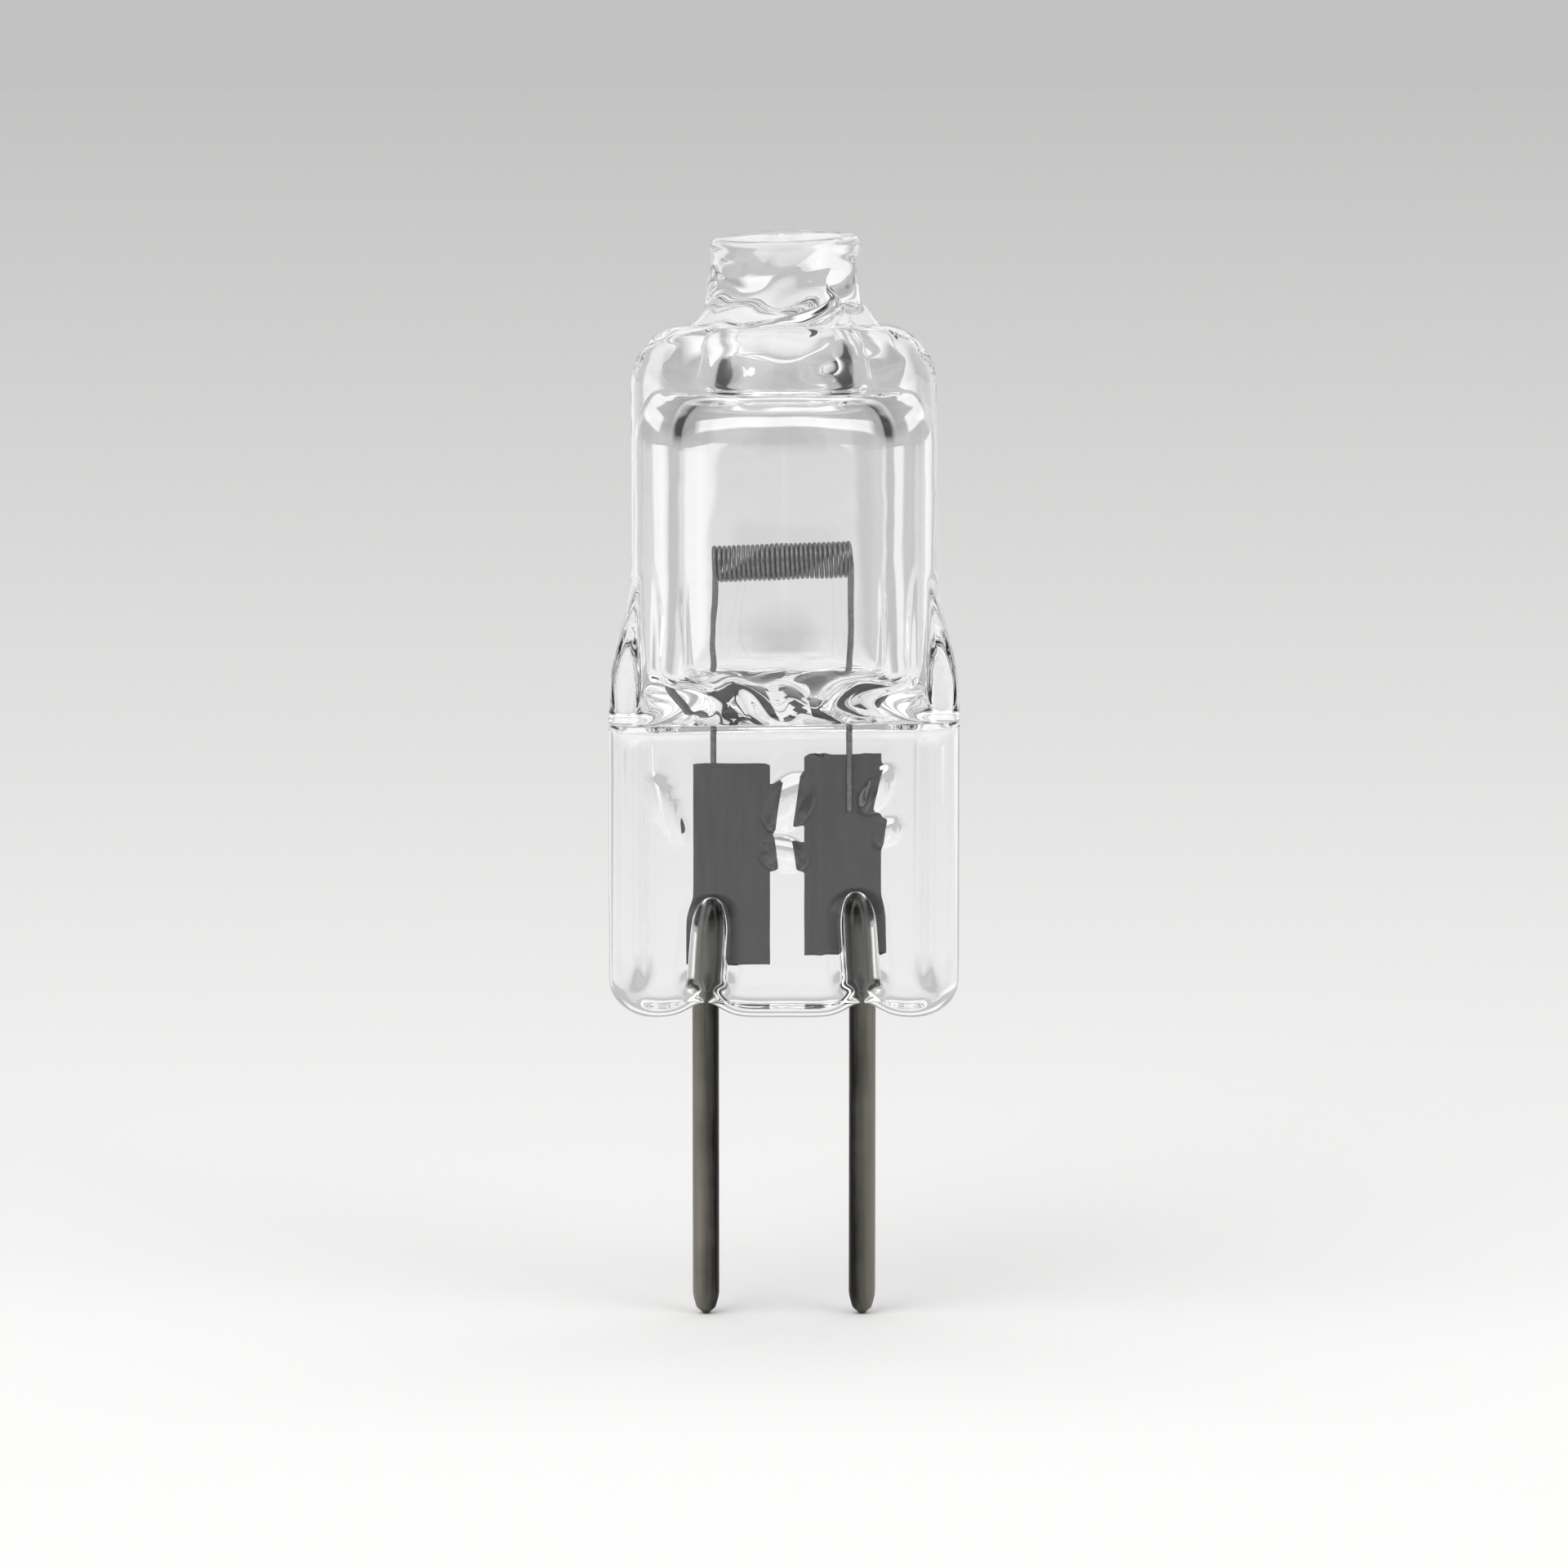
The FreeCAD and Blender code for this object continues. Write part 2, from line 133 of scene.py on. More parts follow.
class Shade:
    """An output socket of a material or of the room, so that shader maths reads as plain arithmetic."""

    def __init__(self, tree, socket):
        self.tree = tree
        self.socket = socket

    def node(self, kind, settings, inputs, output=0):
        """Adds a node of a kind, with its settings first and then its sockets, and gives one output."""
        made = self.tree.nodes.new(kind)
        for name, setting in settings.items():
            setattr(made, name, setting)
        for name, given in inputs.items():
            if isinstance(given, Shade):
                self.tree.links.new(given.socket, made.inputs[name])
            else:
                made.inputs[name].default_value = given
        return Shade(self.tree, made.outputs[output])

    def maths(self, operation, first, second=0):
        """One operation on two values, or on the first alone."""
        return self.node("ShaderNodeMath", {"operation": operation}, {0: first, 1: second})

    def __add__(self, other):
        return self.maths("ADD", self, other)

    __radd__ = __add__

    def __mul__(self, other):
        return self.maths("MULTIPLY", self, other)

    __rmul__ = __mul__

    def __sub__(self, other):
        return self.maths("SUBTRACT", self, other)

    def __rsub__(self, other):
        return self.maths("SUBTRACT", other, self)

    def __truediv__(self, other):
        return self.maths("DIVIDE", self, other)

    def __rtruediv__(self, other):
        return self.maths("DIVIDE", other, self)

    def __abs__(self):
        return self.maths("ABSOLUTE", self)

    def limited(self, low, high):
        """The value held between two limits."""
        return self.maths("MAXIMUM", self.maths("MINIMUM", self, high), low)

    def part(self, axis):
        """One coordinate of a place."""
        return self.node("ShaderNodeSeparateXYZ", {}, {0: self}, "XYZ".index(axis))

    def stretched(self, x, y, z):
        """A place with its coordinates multiplied, so that what is read there is drawn out."""
        return self.node("ShaderNodeVectorMath", {"operation": "MULTIPLY"}, {0: self, 1: (x, y, z)})

    def facing(self, direction):
        """How far a direction goes along another: the sum of the products of their coordinates."""
        return self.node("ShaderNodeVectorMath", {"operation": "DOT_PRODUCT"}, {0: self, 1: direction}, 1)

    def noise(self, scale, detail):
        """Soft random clouds at a place, so many to the metre."""
        return self.node("ShaderNodeTexNoise", {}, {"Vector": self, "Scale": scale, "Detail": detail})

    def between(self, first, second):
        """A colour from the first to the second as the value goes from 0 to 1."""
        return self.node("ShaderNodeMix", {"data_type": "RGBA"}, {0: self, 6: first, 7: second}, 2)

    def bump(self, depth):
        """A normal tilted by the value as a height."""
        return self.node("ShaderNodeBump", {}, {"Height": self, "Distance": depth, "Strength": 1.0})


def surface(name):
    """A new material, its shader, and the place on the object as the start of its maths."""
    material = bpy.data.materials.new(name)
    material.use_nodes = True
    tree = material.node_tree
    shader = tree.nodes["Principled BSDF"]
    place = Shade(tree, tree.nodes.new("ShaderNodeTexCoord").outputs["Object"])
    return material, shader, place


def wire(shader, socket, shade):
    """Joins a value to a socket of the shader."""
    shade.tree.links.new(shade.socket, shader.inputs[socket])


def leg(x, end_depth, end_height, foot_depth, foot_height):
    """A leg from its foot up to the coil: straight in the pinch, then bowed out a little and easing over
    in depth to the coil's end, each by a smooth step of the height."""
    height = np.linspace(foot_height, end_height, LEG_STEPS)
    depth = foot_depth + (end_depth - foot_depth) * smooth(*LEG_EASES_OVER, height)
    bow = LEG_BOW * smooth(*LEG_BOWS_OUT, height) * (1 - smooth(*LEG_BOWS_BACK, height))
    return np.stack([x + np.sign(x) * bow, depth, height], axis=1)


wound = np.linspace(0, 1, round(STEPS_A_TURN * COIL_TURNS) + 1)[2:-2]
angle = 2 * np.pi * COIL_TURNS * wound
coil = np.stack([
    COIL_START + (COIL_END - COIL_START) * wound,
    COIL_RADIUS * np.cos(angle),
    COIL_HEIGHT + COIL_RISE * (2 * wound - 1) + COIL_RADIUS * np.sin(angle),
], axis=1)
leg_top = COIL_HEIGHT - LEG_SHORT_OF_COIL
left_leg = leg(COIL_START, COIL_RADIUS, leg_top - COIL_RISE, *LEFT_FOOT)
right_leg = leg(COIL_END, -COIL_RADIUS, leg_top + COIL_RISE, *RIGHT_FOOT)
path = np.concatenate([left_leg, coil, right_leg[::-1]])
thick = np.repeat([LEG_RADIUS, WIRE_RADIUS, LEG_RADIUS], [LEG_STEPS, len(coil), LEG_STEPS])

tungsten, shader, place = surface("drawn_tungsten")
grain = place.noise(9000, 3)
wire(shader, "Base Color", grain.between(TUNGSTEN_DULL, TUNGSTEN))
wire(shader, "Roughness", 0.16 + 0.16 * grain)
wire(shader, "Normal", place.noise(30000, 2).bump(0.000004))
shader.inputs["Metallic"].default_value = 1.0

piece("filament_coil", [tube(path, thick, WIRE_SIDES)], "filament", tungsten)


# Seal foils: thin molybdenum strips with both long edges etched to a feather.
# Each is welded between a leg of the filament and a pin, and the pinch closes over it.

FOIL_PLANE = 0.36
FOIL_THICK = 0.03
FOIL_FEATHER = 0.1
FOIL_SIDES = 64
FOIL_ROWS = 60
FOILS = {
    "foil_left": (-2.305, -0.355, 1.24, 6.37),
    "foil_right": (0.515, 2.465, 1.49, 6.62),
}
FOIL_GREY = (0.19, 0.19, 0.193, 1)
FOIL_DARK = (0.1, 0.1, 0.104, 1)


def foil_strip(left, right, low, high):
    """Lens-shaped sections carried up the strip: half thickness falls to nothing over the outer tenth of
    the width, and the cut ends run ragged by a few hundredths, along three waves."""
    turn = np.linspace(0, 2 * np.pi, FOIL_SIDES, endpoint=False)
    across = np.sign(np.cos(turn)) * np.abs(np.cos(turn)) ** 0.6
    edge = np.minimum(1, (1 - np.abs(across)) / FOIL_FEATHER + 0.02)
    half = FOIL_THICK / 2 * np.sign(np.sin(turn)) * edge
    x = (left + right) / 2 + (right - left) / 2 * across
    up = np.linspace(0, 1, FOIL_ROWS)[:, None]
    ragged = 0.05 * np.sin(x * 9.1 + left * 5) + 0.04 * np.sin(x * 23.7 + 1.3)
    ragged = ragged + 0.02 * np.sin(x * 51 + 0.4)
    height = low + (high - low) * up - np.abs(ragged) * (up ** 8 + 0.6 * (1 - up) ** 8)
    ripple = 0.008 * np.sin(height * 2.3 + x * 1.7)
    return np.stack([x + 0 * up, FOIL_PLANE + half + ripple, height], axis=-1)


molybdenum, shader, place = surface("etched_molybdenum")
rolled = place.stretched(1, 1, 0.12).noise(6000, 4)
clouds = place.noise(900, 3)
etched = (0.55 * rolled + 0.55 * clouds - 0.05).limited(0, 1)
wire(shader, "Base Color", etched.between(FOIL_DARK, FOIL_GREY))
wire(shader, "Roughness", 0.42 + 0.25 * clouds)
wire(shader, "Normal", rolled.bump(0.000002))
shader.inputs["Metallic"].default_value = 1.0

for node, edges in FOILS.items():
    piece(f"{node}_strip", [foil_strip(*edges)], node, molybdenum)


# Pins: drawn molybdenum rods, pointed below and rounded at their welded ends.
# They leave the glass upright and lean in above it, in a close seat that opens out at the base.

PIN_RADIUS = 0.34
PIN_SPACING = 4.0
PIN_LEAN = 0.18
PIN_BEND = 0.05
PIN_FOOT = -7.87
PIN_POINT = 0.56
PIN_NOSE = 0.8
PIN_SIDES = 48
PIN_TOPS = {"left": (-1, 2.84), "right": (1, 2.99)}
PIN_BROWN = (0.36, 0.34, 0.3, 1)
PIN_DARK = (0.02, 0.019, 0.017, 1)


def pin_axis(side, top, height):
    """Where a pin's middle is along X: upright below the base, and leaning in evenly above it."""
    return side * (PIN_SPACING / 2 - PIN_LEAN * np.maximum(0, height - PIN_BEND) / (top - PIN_BEND))


def turned(side, top, height, radius):
    """Level circles of given radii about a pin's own axis."""
    turn = np.linspace(0, 2 * np.pi, PIN_SIDES, endpoint=False)
    x = pin_axis(side, top, height)[:, None] + radius[:, None] * np.cos(turn)
    y = radius[:, None] * np.sin(turn)
    return np.stack([x, y, height[:, None] + 0 * x], axis=-1)


def pin_form(side, top):
    """A rod with a blunt taper at its point, and an end at the weld that closes along an ellipse."""
    point = np.linspace(0, 1, 20) ** 1.5
    body = np.linspace(PIN_FOOT + PIN_POINT + 0.01, top - PIN_NOSE - 0.02, 80)
    nose = np.linspace(0, 1, 20) ** 0.6
    taper = smooth(-0.6, 1.05, point) ** 1.4
    height = np.concatenate([PIN_FOOT + PIN_POINT * point, body, top - PIN_NOSE + PIN_NOSE * nose])
    radius = np.concatenate([
        0.07 + 0.11 * smooth(0, 0.3, point) + (PIN_RADIUS - 0.18) * taper,
        np.full(len(body), PIN_RADIUS),
        PIN_RADIUS * np.sqrt(1 - 0.96 * nose ** 2),
    ])
    return turned(side, top, height, radius)


rod, shader, place = surface("drawn_pin")
drawn = place.stretched(1, 1, 0.04).noise(9000, 3)
stain = place.noise(700, 4)
# Painted shade and painted reflection: each pin's colour darkens towards its inner side, which faces the
# other pin, and lightens towards its outer side. Drawn grain and random stain are mixed in.
painted_side_light = (abs(place.part("X")) - PIN_SPACING / 2 * MM) / (PIN_RADIUS * MM)
grain_stain_and_painted_shade = 0.3 * drawn + 0.4 * stain + 0.4 * painted_side_light - 0.06
wire(shader, "Base Color", grain_stain_and_painted_shade.limited(0, 1).between(PIN_DARK, PIN_BROWN))
wire(shader, "Roughness", 0.3 + 0.2 * stain)
wire(shader, "Normal", (drawn + 0.5 * place.noise(15000, 2)).bump(0.000006))
shader.inputs["Metallic"].default_value = 1.0

for name, (side, top) in PIN_TOPS.items():
    piece(f"pin_{name}_rod", [pin_form(side, top)], f"pin_{name}", rod)


# Glass envelope: one quartz tube, blown to a bulb and melted off above, where its exhaust tube was.
# Its foot was pressed flat between two jaws, hot, over the foils, the pins' ends and the filament's legs.

BULB_RADIUS = 3.86
PINCH_HALF = 4.44
PINCH_DEPTH = 1.5
PINCH_EDGE = 0.8
BASE_ROUND = 0.95
BASE_EDGE = 0.3
BASE_CORNER = 0.3
BASE_HOLLOW = 0.38
CREASE = 7.5
CREASE_ROUND = 0.17
CREASE_SLANT = 0.012
CHEEK_TOP = 9.5
CHEEK_DEPTH = 4.0
FLARE = (8.1, 11.4)
FIN_THICK = 1.6
JOIN = 14
TUBE_FOOT = 12
SHOULDER = 15.95
NECK_RADIUS = 2.37
STUB_RADIUS = 1.9
NECK_TOP = 18.4
TIP = 19.68
TIP_CROWN = 0.06
TIP_SLANT = 0.03
TIP_LEAN = 0.05
RIM = 0.26
BOSS_RADIUS = 1.66
BEAD_MIDDLE, BEAD_HALF, BEAD_HEIGHT = 3.72, 0.38, 0.19
GROOVE_DROP, GROOVE_WIDTH, GROOVE_DEPTH = 0.24, 0.09, 0.1
DENTS = (
    (0.12, 5.5, 0.62, 0.78, 0.3, 0.42),
    (-0.02, 4.2, 0.62, 0.48, -0.3, 0.4),
    (-2.95, 5.3, 0.34, 1.0, -0.28, 0.26),
    (2.35, 5.85, 0.34, 0.66, 0.35, 0.36),
    (2.6, 4.75, 0.3, 0.4, 0.2, 0.28),
)
MELT = ((0.06, 2, 2.2, 0.6), (0.05, 3, -3.1, -1.1), (0.035, 5, 4.3, 0), (0.02, 9, -7, 0))
MELT_RADIUS = 2.2
BORE_RADIUS = 2.6
HOLLOW_FLOOR = 8.3
TROUGH_HALF = 1.3
TROUGH_SHORT = 0.3
TROUGH_RISE = 1.2
FLOOR_DISH = 0.06
CEILING = 15.8
CEILING_ROUND = 0.5
CEILING_RISE = 1.5
THROAT_RADIUS = 1.5
THROAT_LENGTH = 2.6
THROAT_LEAN = 0.85
SEAT_RADIUS = 0.36
SEAT_MOUTH = 0.26
COLUMNS = 192
QUARTZ = (0.998, 1, 1, 1)
QUARTZ_IOR = 1.458


def outline(half, deep, corner, bearing):
    """How far a rounded rectangle reaches at each bearing: to its side, to its face, or to the circle at
    its corner, whichever the ray meets."""
    across, along = np.abs(np.cos(bearing)), np.abs(np.sin(bearing))
    with np.errstate(divide="ignore"):
        side = half / across
        face = deep / along
    x, y = half - corner, deep - corner
    middle = across * x + along * y
    arc = middle + np.sqrt(np.maximum(0, middle ** 2 - x ** 2 - y ** 2 + corner ** 2))
    return np.where(side * along <= y, side, np.where(face * across <= x, face, arc))


def bearings(count):
    """Angles about the axis, half of them even in angle and half even along the outline of the pinch, so
    that both the flat faces and the round bulb get enough columns."""
    fine = np.linspace(0, 2 * np.pi, 20001)
    reach = outline(PINCH_HALF, PINCH_DEPTH, PINCH_EDGE, fine)
    step = np.hypot(np.diff(reach * np.cos(fine)), np.diff(reach * np.sin(fine)))
    along = np.concatenate([[0], np.cumsum(step)])
    mixed = 0.5 * along / along[-1] + 0.5 * fine / (2 * np.pi)
    return np.interp(np.arange(count) / count, mixed, fine)


def rings(height, half, deep, corner, bearing):
    """Rounded rectangles stacked by height, as a grid of places."""
    reach = outline(half[:, None], deep[:, None], corner[:, None], bearing[None])
    x = reach * np.cos(bearing)
    y = reach * np.sin(bearing)
    return np.stack([x, y, height[:, None] + 0 * x], axis=-1)


def pinch_rows():
    """Height, half width, half depth and corner of each ring of the pinch, from the middle of its base up
    to its crease: a flat, a rounded edge, the straight sides, and the round under the crease."""
    rows = []
    s = np.linspace(0.03, 1, 24)
    rows.append((0 * s, (PINCH_HALF - BASE_ROUND) * s, (PINCH_DEPTH - BASE_EDGE) * s, BASE_CORNER * s))
    t = np.linspace(0, np.pi / 2, 40)[1:]
    z = BASE_ROUND * (1 - np.cos(t))
    edge = np.sqrt(1 - np.maximum(0, 1 - z / BASE_EDGE) ** 2)
    half = PINCH_HALF + BASE_ROUND * (np.sin(t) - 1)
    deep = PINCH_DEPTH + BASE_EDGE * (edge - 1)
    rows.append((z, half, deep, BASE_CORNER + (PINCH_EDGE - BASE_CORNER) * edge))
    z = np.linspace(BASE_ROUND, CREASE - CREASE_ROUND, 110)[1:]
    rows.append((z, 0 * z + PINCH_HALF, 0 * z + PINCH_DEPTH, 0 * z + PINCH_EDGE))
    t = np.linspace(0, np.pi / 2, 14)[1:-1]
    z = CREASE - CREASE_ROUND + CREASE_ROUND * np.sin(t)
    deep = PINCH_DEPTH + CREASE_ROUND * (1 - np.cos(t))
    rows.append((z, 0 * z + PINCH_HALF, deep, 0 * z + PINCH_EDGE))
    return [np.concatenate(column) for column in zip(*rows)]


def cheeks(bearing):
    """The tube above the crease: a circle held in by the two cheeks, whose depth rises along a quarter of
    an ellipse, and held out by the pinch's edges, which run up its sides and thin away. Both joins are
    soft: a mean of high power takes the place of the lesser and of the greater."""
    t = np.linspace(0, np.pi / 2, 60)
    span = CHEEK_TOP - CREASE
    z = np.concatenate([CHEEK_TOP - span * np.cos(t), np.linspace(CHEEK_TOP, TUBE_FOOT, 30)[1:]])[:, None]
    rise = np.sqrt(np.maximum(0, 1 - ((CHEEK_TOP - np.minimum(z, CHEEK_TOP)) / span) ** 2))
    start = PINCH_DEPTH + CREASE_ROUND
    deep = start + (CHEEK_DEPTH - start) * rise + 1.6 * smooth(9.0, 11.0, z)
    held = (BULB_RADIUS ** -JOIN + (np.abs(np.sin(bearing)) / deep) ** JOIN) ** (-1 / JOIN)
    wide = PINCH_HALF + (BULB_RADIUS - PINCH_HALF) * smooth(*FLARE, z)
    fin = np.maximum(wide ** JOIN - BULB_RADIUS ** JOIN, 1) ** (1 / JOIN)
    thin = FIN_THICK - 0.5 * smooth(CREASE, 11, z)
    reach = (held ** JOIN + outline(fin, thin, 0.3 * thin, bearing) ** JOIN) ** (1 / JOIN)
    return np.stack([reach * np.cos(bearing), reach * np.sin(bearing), z + 0 * reach], axis=-1)


def top_rows():
    """Height and radius of each ring of the bulb's upper part, its shoulder, neck, stub and tip. The
    radius stands three times, as the half width, half depth and corner of a round section."""
    rows = []
    z = np.linspace(TUBE_FOOT, SHOULDER, 16)[1:]
    rows.append((z, 0 * z + BULB_RADIUS))
    t = np.linspace(0, np.pi / 2, 30)[1:-1]
    fall = BULB_RADIUS - NECK_RADIUS
    rows.append((SHOULDER + fall * np.sin(t), NECK_RADIUS + fall * np.cos(t)))
    t = np.linspace(0, 1, 20)
    dome = SHOULDER + fall
    neck = NECK_RADIUS + (STUB_RADIUS - NECK_RADIUS) * smooth(0, 1, t ** 0.6)
    rows.append((dome + (NECK_TOP - dome) * t ** 1.4, neck))
    z = np.linspace(NECK_TOP, TIP - RIM, 16)[1:]
    rows.append((z, 0 * z + STUB_RADIUS))
    t = np.linspace(0, np.pi / 2, 14)[1:]
    rows.append((TIP - RIM + RIM * np.sin(t), STUB_RADIUS - RIM + RIM * np.cos(t)))
    s = np.linspace(1, 0.02, 20)[1:]
    rows.append((TIP + TIP_CROWN * (1 - s ** 2), (STUB_RADIUS - RIM) * s))
    z, r = (np.concatenate(column) for column in zip(*rows))
    return z, r, r, r


def pressed(grid):
    """The marks of making on the outside: bosses over the pins, hollows in the base where they leave, a
    bead along each side, a groove under the crease, a slanted crease, dents in the front face, and the
    uneven melt of the neck and tip. Each moves the faces in depth or the rings in height."""
    x, y, z = grid[..., 0].copy(), grid[..., 1].copy(), grid[..., 2].copy()
    face = np.sign(y) * smooth(0.6, 1.2, np.abs(y))
    for side, top in PIN_TOPS.values():
        beside = x - pin_axis(side, top, z)
        above = np.maximum(0, z - (top - 0.42))
        room = BOSS_RADIUS ** 2 - beside ** 2 - above ** 2
        rise = np.sqrt(np.maximum(room, 0.01)) - PINCH_DEPTH
        proud = 0.5 * (rise + np.sqrt(rise ** 2 + 0.0008))
        proud = proud * smooth(0.25, 0.8, z) * (1 - smooth(3.6, 4.2, z))
        y = y + face * np.where(np.abs(beside) < 1.2, proud, 0)
        z = z + BASE_HOLLOW * np.exp(-(beside / 0.55) ** 2) * (1 - smooth(0.0, 1.6, z))
    bead = np.clip(1 - ((np.abs(x) - BEAD_MIDDLE) / BEAD_HALF) ** 2, 0, 1) ** 2
    y = y + face * BEAD_HEIGHT * bead * smooth(0.5, 1.4, z) * (1 - smooth(6.9, 7.4, z))
    groove = np.exp(-((z - CREASE + GROOVE_DROP) / GROOVE_WIDTH) ** 2)
    y = y - face * GROOVE_DEPTH * groove * (1 - smooth(3.9, 4.3, np.abs(x)))
    z = z + CREASE_SLANT * x * np.exp(-((z - CREASE) / 0.7) ** 2)
    for middle, height, wide, tall, lean, deep in DENTS:
        u = (x - middle - lean * (z - height)) / wide
        v = (z - height) / tall
        y = y + np.where(y < 0, deep * np.clip(1 - u ** 2 - v ** 2, 0, 1), 0)
    turn = np.arctan2(grid[..., 1], grid[..., 0])
    melt = smooth(16.6, 17.6, z) * (1 - 0.8 * smooth(19.0, 19.6, z))
    swell = sum(size * np.sin(count * turn + twist * z + start) for size, count, twist, start in MELT)
    x = x * (1 + melt * swell / MELT_RADIUS)
    y = y * (1 + melt * swell / MELT_RADIUS)
    z = z + (TIP_SLANT * x + TIP_LEAN * y) * smooth(NECK_TOP, 19.5, z)
    return np.stack([x, y, z], axis=-1)


def hollow_rows():
    """Height, half width, half depth and corner of each ring of the sealed hollow: a narrow trough between
    the cheeks, a round bore, a ceiling with rounded edges, and the throat of the exhaust tube."""
    rows = []
    s = np.linspace(0.04, 1, 16)
    deep = TROUGH_HALF * s
    rows.append((HOLLOW_FLOOR + FLOOR_DISH * s ** 2, (BORE_RADIUS - TROUGH_SHORT) * s, deep, deep))
    t = np.linspace(0, np.pi / 2, 40)[1:]
    z = HOLLOW_FLOOR + FLOOR_DISH + TROUGH_RISE * (1 - np.cos(t))
    half = BORE_RADIUS - TROUGH_SHORT * (1 - np.sin(np.minimum(t * 1.6, np.pi / 2)))
    deep = TROUGH_HALF + (BORE_RADIUS - TROUGH_HALF) * np.sin(t)
    rows.append((z, half, deep, np.minimum(deep, half)))
    bore_foot = HOLLOW_FLOOR + FLOOR_DISH + TROUGH_RISE
    z = np.linspace(bore_foot, CEILING - CEILING_RISE, 24)[1:]
    r = 0 * z + BORE_RADIUS
    rows.append((z, r, r, r))
    t = np.linspace(0, np.pi / 2, 16)[1:]
    r = BORE_RADIUS - CEILING_ROUND * (1 - np.cos(t))
    rows.append((CEILING - CEILING_RISE + CEILING_RISE * np.sin(t), r, r, r))
    t = np.linspace(0, 1, 12)[1:]
    flat = BORE_RADIUS - CEILING_ROUND
    r = flat + (THROAT_RADIUS - flat) * t
    rows.append((CEILING + 0.05 * t, r, r, r))
    t = np.linspace(0, 1, 48)[1:]
    r = THROAT_RADIUS - 0.2 * smooth(0, 0.2, t) - 0.7 * smooth(0.2, 0.6, t) - 0.56 * smooth(0.5, 1, t)
    rows.append((CEILING + 0.05 + THROAT_LENGTH * t, r, r, r))
    return [np.concatenate(column) for column in zip(*rows)]


def hollow():
    """The rings of the hollow, with its throat drawn to one side and uneven, and its floor left wavy by the
    jaws: two crossing waves that die out up the wall."""
    bearing = np.linspace(0, 2 * np.pi, COLUMNS // 2, endpoint=False)
    grid = rings(*hollow_rows(), bearing)
    x, y, z = grid[..., 0].copy(), grid[..., 1].copy(), grid[..., 2].copy()
    throat = smooth(CEILING + 0.1, 16.6, z)
    swell = 0.07 * np.sin(3 * bearing + 2 * z) + 0.05 * np.sin(5 * bearing - 3 * z + 1)
    grid[..., :2] *= 1 + (throat * swell)[..., None]
    grid[..., 0] += THROAT_LEAN * smooth(16.2, 17.9, z)
    waves = 0.09 * np.sin(2.3 * x + 0.7) * np.cos(2.0 * y + 0.4) + 0.05 * np.sin(4.9 * x - 3.1 * y + 1.2)
    grid[..., 2] += waves * (1 - smooth(HOLLOW_FLOOR, HOLLOW_FLOOR + 0.9, z))
    return grid[:, ::-1]


def seat(side, top):
    """The close room round a pin's end in the glass: a flared mouth at the base, and a rounded top."""
    mouth = np.linspace(0, 1, 16)
    body = np.linspace(0.92, top - PIN_NOSE - 0.02, 30)
    nose = np.linspace(0, 1, 20) ** 0.6
    height = np.concatenate([0.34 + 0.56 * mouth, body, top - PIN_NOSE + (PIN_NOSE + 0.03) * nose])
    radius = np.concatenate([
        SEAT_RADIUS + SEAT_MOUTH * (1 - mouth) ** 1.6,
        np.full(len(body), SEAT_RADIUS),
        SEAT_RADIUS * np.sqrt(1 - 0.97 * nose ** 2),
    ])
    return turned(side, top, height, radius)[:, ::-1]


quartz, shader, place = surface("clear_quartz")
shader.inputs["Base Color"].default_value = QUARTZ
shader.inputs["Transmission Weight"].default_value = 1.0
shader.inputs["IOR"].default_value = QUARTZ_IOR
wire(shader, "Roughness", 0.02 * place.noise(600, 3))
wire(shader, "Normal", place.noise(500, 2).bump(0.00002))

around = bearings(COLUMNS)
blown = np.concatenate([rings(*pinch_rows(), around), cheeks(around), rings(*top_rows(), around)])
seats = [seat(side, top) for side, top in PIN_TOPS.values()]
piece("glass_body", [pressed(blown), hollow()] + seats, "glass_envelope", quartz)


# Floor: a pale seamless sheet under the pins' points, its colour painted paler towards the camera as a
# painted fall of light. White and grey cards lie on it behind the lamp, outside the frame, and the bulb's
# wall shows them as its light and dark bands.
# Sizes from here on are in metres. A card has a bearing from the lamp, as a sine, a half width and a tone.

FLOOR_HALF = 6.0
FLOOR_GAP = 0.00002
PAPER = (1, 1, 0.992, 1)
BLACK = (0, 0, 0, 1)
CARD_TONE = 0.8
CARD_EDGE = 0.012
CARDS = (
    (-1, 0.03, 0.2),
    (-0.8, 0.06, -0.24),
    (-0.45, 0.13, 0.2),
    (0.42, 0.13, -0.22),
    (0.72, 0.06, 0.12),
    (0.87, 0.04, -0.24),
    (1, 0.03, 0.2),
)
CAMERA_REACH = 0.15
CAMERA_RISE = math.radians(7)
FRAME_MIDDLE = (0.0, 0.0, 0.0058)
FRAME_WIDTH = 0.03983


def band(value, middle, half):
    """1 within half of the middle, falling to 0 over as much again, with level ends."""
    held = (2 - abs(value - middle) / half).limited(0, 1)
    return held * held * (3 - 2 * held)


def cards(x, y):
    """How pale the floor is outside the frame: an even tone, to which each card adds its own at its
    bearing, behind the lamp only."""
    span = x.maths("SQRT", x * x + y * y + 1e-9)
    bearing = x / span
    back = (y / span * 4 + 0.5).limited(0, 1)
    laid = sum(tone * band(bearing, middle, half) for middle, half, tone in CARDS)
    return CARD_TONE + back * (laid - 0.03)


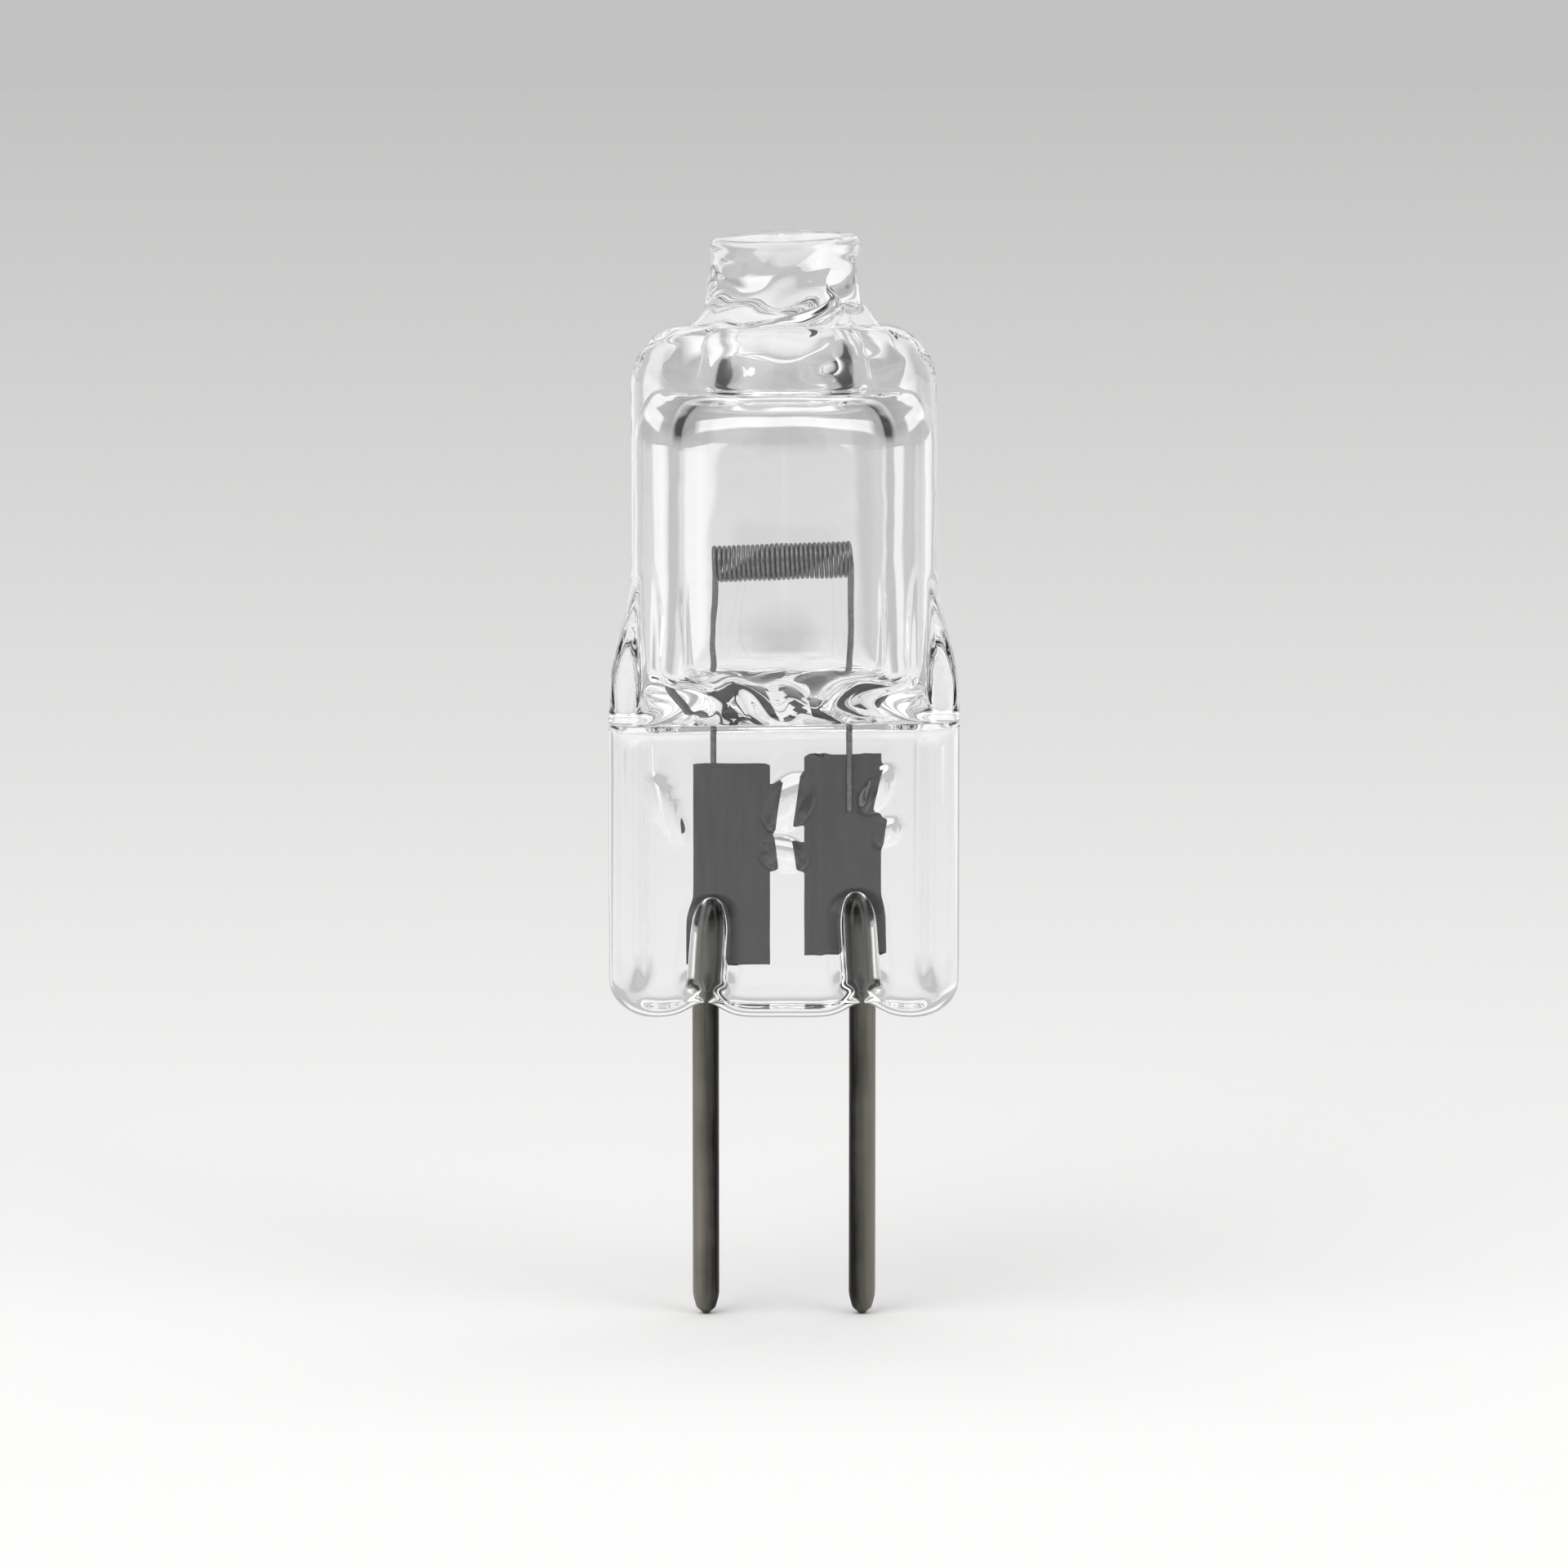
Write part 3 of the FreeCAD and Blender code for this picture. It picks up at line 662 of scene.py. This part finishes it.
paper, shader, place = surface("pale_paper")
floor_level = cad_box[0].z - FLOOR_GAP
eye_height = FRAME_MIDDLE[2] + CAMERA_REACH * math.sin(CAMERA_RISE) - floor_level
away = (place.part("Y") + CAMERA_REACH * math.cos(CAMERA_RISE)).limited(0.05, 10)
# Painted light: the sheet's colour grows paler the nearer it lies to the camera.
plain = (0.54 + 1.95 * eye_height / away).limited(0.5, 1)
aside = abs(place.part("X")) - 0.54 * FRAME_WIDTH / CAMERA_REACH * away
beyond = (aside / CARD_EDGE).limited(0, 1)
tone = plain + beyond * (cards(place.part("X"), place.part("Y")) - plain)
wire(shader, "Base Color", tone.between(BLACK, PAPER))
shader.inputs["Roughness"].default_value = 0.9
shader.inputs["Specular IOR Level"].default_value = 0.0
mesh = bpy.data.meshes.new("floor_sheet")
square = np.array([[-1, -1], [1, -1], [1, 1], [-1, 1]]) * FLOOR_HALF
mesh.from_pydata([(x, y, floor_level) for x, y in square.tolist()], [], [(0, 1, 2, 3)])
mesh.materials.append(paper)
floor = bpy.data.objects.new("floor_sheet", mesh)
bpy.context.collection.objects.link(floor)


# Light: a plain grey room, darker above, with soft white panels to the left, the right, above and behind.
# A dark flag stands high on either side, which the glass shows as the dark strokes of its edges.
# Each has its bearing and height, its half width and half height, all in degrees, and its strength.

PANELS = (
    (-50, 32, 26, 34, 1.3),
    (58, 28, 16, 30, 1.0),
    (0, 82, 42, 40, 1.06),
    (180, 14, 24, 6, 0.5),
)
FLAGS = (
    (100, 36, 26, 28, 0.4),
    (-100, 36, 26, 28, 0.4),
)
DARKEST = 0.02

world = bpy.data.worlds.new("soft_room")
bpy.context.scene.world = world
world.use_nodes = True
tree = world.node_tree
view = Shade(tree, tree.nodes.new("ShaderNodeTexCoord").outputs["Generated"])


def panel(azimuth, elevation, wide, tall, strength):
    """A soft-edged panel in the room: full within its half sizes, falling over a quarter of each, and
    nothing on the far side of the room."""
    a, e = math.radians(azimuth), math.radians(elevation)
    ahead = (math.sin(a) * math.cos(e), -math.cos(a) * math.cos(e), math.sin(e))
    right = (math.cos(a), math.sin(a), 0)
    up = np.cross(right, ahead)
    up = tuple(up * np.sign(up[2]))
    inside = strength * (view.facing(ahead) * 20).limited(0, 1)
    for side, half in ((right, wide), (up, tall)):
        reach = math.sin(math.radians(half))
        edge = (reach - abs(view.facing(side))) / (0.25 * reach) + 0.5
        inside = edge.limited(0, 1) * inside
    return inside


far = view.part("Y")
lift = ((view.part("Z") - 0.1) / 0.12).limited(0, 1)
room = 0.4 + 0.14 * far - lift * (0.26 - 0.18 * far)
dimmed = (room - sum(panel(*flag) for flag in FLAGS)).limited(DARKEST, 1)
light = dimmed + sum(panel(*lit) for lit in PANELS)
background = tree.nodes["Background"]
background.inputs["Color"].default_value = (1, 1, 1, 1)
tree.links.new(light.socket, background.inputs["Strength"])


# Camera: aimed at the lamp's middle from a little above it, through a long lens.
# Light may bounce often enough to find its way out of the thick glass of the pinch.

SENSOR = 36
BOUNCES = 16

lens = bpy.data.cameras.new("camera")
lens.sensor_width = SENSOR
lens.lens = SENSOR * CAMERA_REACH / FRAME_WIDTH
lens.clip_start = 0.001
camera = bpy.data.objects.new("camera", lens)
bpy.context.collection.objects.link(camera)
camera.location = (
    FRAME_MIDDLE[0],
    -CAMERA_REACH * math.cos(CAMERA_RISE),
    FRAME_MIDDLE[2] + CAMERA_REACH * math.sin(CAMERA_RISE),
)
camera.rotation_euler = (math.pi / 2 - CAMERA_RISE, 0, 0)
bpy.context.scene.camera = camera
bpy.context.scene.view_settings.view_transform = "Standard"
for kind in ("max_bounces", "transmission_bounces", "glossy_bounces"):
    setattr(bpy.context.scene.cycles, kind, BOUNCES)
